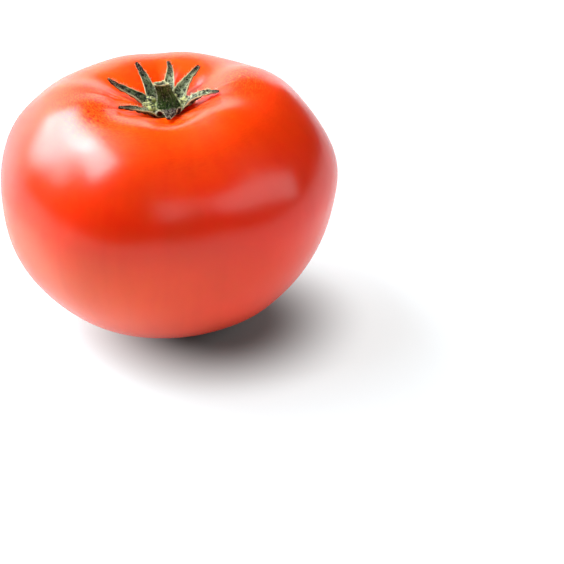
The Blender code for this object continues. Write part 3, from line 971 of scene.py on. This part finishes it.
rind_shader.inputs["Specular IOR Level"].default_value = 0.25
rind_shader.inputs["Sheen Weight"].default_value = 0.05

stalk = add_piece(
    "stalk_stub",
    np.concatenate([stalk_grid.reshape(-1, 3), stalk_ends]) + shift,
    stalk_faces,
    stalk_rind,
)
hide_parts("stalk")
# Rows run from the middle of the cut end out to the rim and down to the foot
cut_rows = np.concatenate([np.ones(len(CUT_RINGS)), 1 - ease(np.arange(STALK_RINGS) * 1.0, 0, 5)])
pith_rows = np.concatenate([[pith for _, _, pith in reversed(CUT_RINGS)], np.zeros(STALK_RINGS)])
paint(stalk.data, "cut", np.append(np.repeat(cut_rows, STALK_SIDES), [1.0, 0.0]))
paint(stalk.data, "pith", np.append(np.repeat(pith_rows, STALK_SIDES), [1.0, 0.0]))

# Fine pale hairs stand on the calyx and the stalk, as on every part of the plant but the fruit.
# Each is a thin cone of one cell's width drawn out to a point, made a little thicker to show.

HAIR_LENGTH = (0.00025, 0.00075)
HAIR_RADIUS = 0.00003
HAIR_STRAY = 0.35
EDGE_HAIRS = 150
FACE_HAIRS = 90
STALK_HAIRS = 320

down = np.random.default_rng(5)
hair_points = []
hair_faces = []


def add_hair(root, way):
    """One three-sided cone that stands in the surface by a tenth of its length."""
    way = unit(way + down.normal(0, HAIR_STRAY, 3))
    length = down.uniform(*HAIR_LENGTH)
    across = unit(np.cross(way, (0.3, 0.5, 0.8)))
    other = np.cross(way, across)
    first = len(hair_points)
    for turn in (0, 2 * math.pi / 3, 4 * math.pi / 3):
        foot = root - way * length * 0.1
        hair_points.append(foot + (across * math.cos(turn) + other * math.sin(turn)) * HAIR_RADIUS)
    hair_points.append(root + way * length)
    for corners in ((0, 1, 3), (1, 2, 3), (2, 0, 3), (2, 1, 0)):
        hair_faces.append(tuple(first + corner for corner in corners))


for top, outward in blades:
    for _ in range(EDGE_HAIRS):
        row = down.integers(8, BLADE_STEPS - 2)
        column = down.choice((0, BLADE_ACROSS - 1))
        sideways = unit(top[row, column] - top[row, BLADE_ACROSS // 2])
        add_hair(top[row, column] - outward[row, column] * 0.0001, sideways + 0.6 * outward[row, column])
    for _ in range(FACE_HAIRS):
        row = down.integers(10, BLADE_STEPS - 2)
        column = down.integers(1, BLADE_ACROSS - 1)
        add_hair(top[row, column], outward[row, column])
for _ in range(STALK_HAIRS):
    row = down.integers(12, STALK_RINGS - 2)
    column = down.integers(0, STALK_SIDES)
    root = stalk_points[row, column]
    middle = stalk_points[row].mean(0)
    add_hair(root, unit(root - middle) + np.array((0, 0, 0.2)))

# Plant hair: a clear cell wall, dull and pale green to straw-coloured, in patches a millimetre wide

HAIR_GREEN = linear("#a9b37c")
HAIR_STRAW = linear("#e6e6c4")
HAIR_PATCH_PER_M = 1 / 0.001
plant_hair = bpy.data.materials.new("plant_hair")
plant_hair.use_nodes = True
hair_shader = plant_hair.node_tree.nodes["Principled BSDF"]
hair_place = add_node(plant_hair, "ShaderNodeTexCoord").outputs["Object"]
hair_tint = add_node(
    plant_hair, "ShaderNodeTexNoise", {"Vector": hair_place, "Scale": HAIR_PATCH_PER_M, "Detail": 1.0}
)
hair_colour = add_node(
    plant_hair,
    "ShaderNodeMix",
    {"Factor": hair_tint.outputs["Fac"], 6: HAIR_GREEN, 7: HAIR_STRAW},
    data_type="RGBA",
)
plant_hair.node_tree.links.new(hair_colour.outputs[2], hair_shader.inputs["Base Color"])
hair_shader.inputs["Roughness"].default_value = 0.5
add_piece("calyx_hairs", np.array(hair_points) + shift, hair_faces, plant_hair)

# The studio: a broad white sweep to stand on, one soft key light high on the left and a little
# behind, a dimmer white card on the right in front, and a white wall behind.

FLOOR_SIZE = 3.0

# White sweep: a sheet of matt cool grey paper board with a painted glow, which no lamp gives, that stands
# for the light of a white room. The glow makes it white from a small distance round the fruit on and fades
# out close round the fruit's foot: a painted shadow, a little to the right and in front, that deepens the
# fruit's own soft shadow.

PAPER_GREY = linear("#7d8989")
GLOW_MIDDLE = (0.012, -0.006, 0.0)
GLOW_STARTS = (0.010, 0.038)
GLOW = 0.78
floor_white = bpy.data.materials.new("white_sweep")
floor_white.use_nodes = True
floor_shader = floor_white.node_tree.nodes["Principled BSDF"]
floor_shader.inputs["Base Color"].default_value = PAPER_GREY
floor_shader.inputs["Roughness"].default_value = 0.7
floor_shader.inputs["Specular IOR Level"].default_value = 0.2
floor_shader.inputs["Emission Color"].default_value = (1.0, 1.0, 1.0, 1.0)
floor_place = add_node(floor_white, "ShaderNodeTexCoord").outputs["Object"]
floor_distance = add_node(
    floor_white, "ShaderNodeVectorMath", {0: floor_place, 1: GLOW_MIDDLE}, operation="DISTANCE"
)
# Painted glow, off close to the fruit: a painted shadow round its foot
floor_glow = add_node(
    floor_white,
    "ShaderNodeMapRange",
    {
        "Value": floor_distance.outputs["Value"],
        "From Min": GLOW_STARTS[0],
        "From Max": GLOW_STARTS[1],
        "To Max": GLOW,
    },
    interpolation_type="SMOOTHSTEP",
)
floor_white.node_tree.links.new(floor_glow.outputs["Result"], floor_shader.inputs["Emission Strength"])
half = FLOOR_SIZE / 2
floor_mesh = bpy.data.meshes.new("floor")
floor_mesh.from_pydata(
    [(-half, -half, 0), (half, -half, 0), (half, half, 0), (-half, half, 0)], [], [(0, 1, 2, 3)]
)
floor_mesh.materials.append(floor_white)
floor = bpy.data.objects.new("floor", floor_mesh)
bpy.context.scene.collection.objects.link(floor)

# The lights face the fruit's middle. Each softbox: name, azimuth and elevation in degrees,
# distance, width and height in metres, brightness, roll in degrees and colour. Four of them
# overlap to make the key light, so that it has a bright heart and soft, uneven borders.
MIDDLE = Vector((0.0, 0.0, 0.035))
KEY_TINT = (1.0, 0.95, 1.05)
WHITE = (1.0, 1.0, 1.0)
SOFTBOXES = (
    ("key_back", 170, 58, 0.9, 0.585, 0.390, 14.4, 26, KEY_TINT),
    ("key_side", 147, 37, 0.9, 0.470, 0.540, 9.0, 22, KEY_TINT),
    ("key_side_edge", 146, 36, 0.92, 0.680, 0.740, 5.0, 22, KEY_TINT),
    ("key_middle", 169, 50, 0.9, 0.205, 0.516, 0.8, 1, KEY_TINT),
    ("front_card", 332, 28, 0.9, 1.20, 0.42, 2.6, -20, WHITE),
    ("back_wall", 118, 12, 1.2, 2.6, 0.6, 1.5, 0, WHITE),
)


def away_from_fruit(azimuth, elevation, distance):
    """A place round the fruit's middle, by angles in degrees."""
    a = math.radians(azimuth)
    e = math.radians(elevation)
    return MIDDLE + distance * Vector((math.cos(e) * math.cos(a), math.cos(e) * math.sin(a), math.sin(e)))


def add_softbox(name, azimuth, elevation, distance, width, height, brightness, roll, colour):
    """An area light that faces the fruit. Brightness is that of its face, and a white floor
    in full light is about 1."""
    light = bpy.data.lights.new(name, "AREA")
    light.shape = "RECTANGLE"
    light.size = width
    light.size_y = height
    light.energy = brightness * math.pi * width * height
    light.color = colour
    lamp = bpy.data.objects.new(name, light)
    lamp.location = away_from_fruit(azimuth, elevation, distance)
    facing = (lamp.location - MIDDLE).to_track_quat("Z", "Y")
    lamp.rotation_euler = (facing @ Quaternion((0, 0, 1), math.radians(roll))).to_euler()
    lamp.visible_camera = False
    bpy.context.scene.collection.objects.link(lamp)


for softbox in SOFTBOXES:
    add_softbox(*softbox)

ROOM_LIGHT = 0.03
surroundings = bpy.data.worlds.new("pale_room")
surroundings.use_nodes = True
backdrop = surroundings.node_tree.nodes["Background"]
backdrop.inputs["Color"].default_value = (*WHITE, 1.0)
backdrop.inputs["Strength"].default_value = ROOM_LIGHT
bpy.context.scene.world = surroundings
bpy.context.scene.view_settings.view_transform = "Standard"

# The camera looks 31 degrees down from 0.7 m in front of the point it aims at, through a long
# lens. It aims to the right of the fruit and below it, so the fruit is in the picture's upper left.

CAMERA_DISTANCE = 0.700
CAMERA_ELEVATION = math.radians(31)
CAMERA_RIGHT = 0.02798
CAMERA_UP = -0.02615
PIXELS_PER_METRE = 4209.0
PICTURE_SIDE = 564
SENSOR_MM = 36.0

look_up = Vector((0.0, math.sin(CAMERA_ELEVATION), math.cos(CAMERA_ELEVATION)))
look_back = Vector((0.0, -math.cos(CAMERA_ELEVATION), math.sin(CAMERA_ELEVATION)))
aim = Vector((shift[0], shift[1], WIDEST_HEIGHT)) + Vector((CAMERA_RIGHT, 0, 0)) + look_up * CAMERA_UP
camera_data = bpy.data.cameras.new("camera")
camera_data.sensor_width = SENSOR_MM
camera_data.lens = PIXELS_PER_METRE * CAMERA_DISTANCE * SENSOR_MM / PICTURE_SIDE
camera = bpy.data.objects.new("camera", camera_data)
camera.location = aim + look_back * CAMERA_DISTANCE
camera.rotation_euler = look_back.to_track_quat("Z", "Y").to_euler()
bpy.context.scene.collection.objects.link(camera)
bpy.context.scene.camera = camera
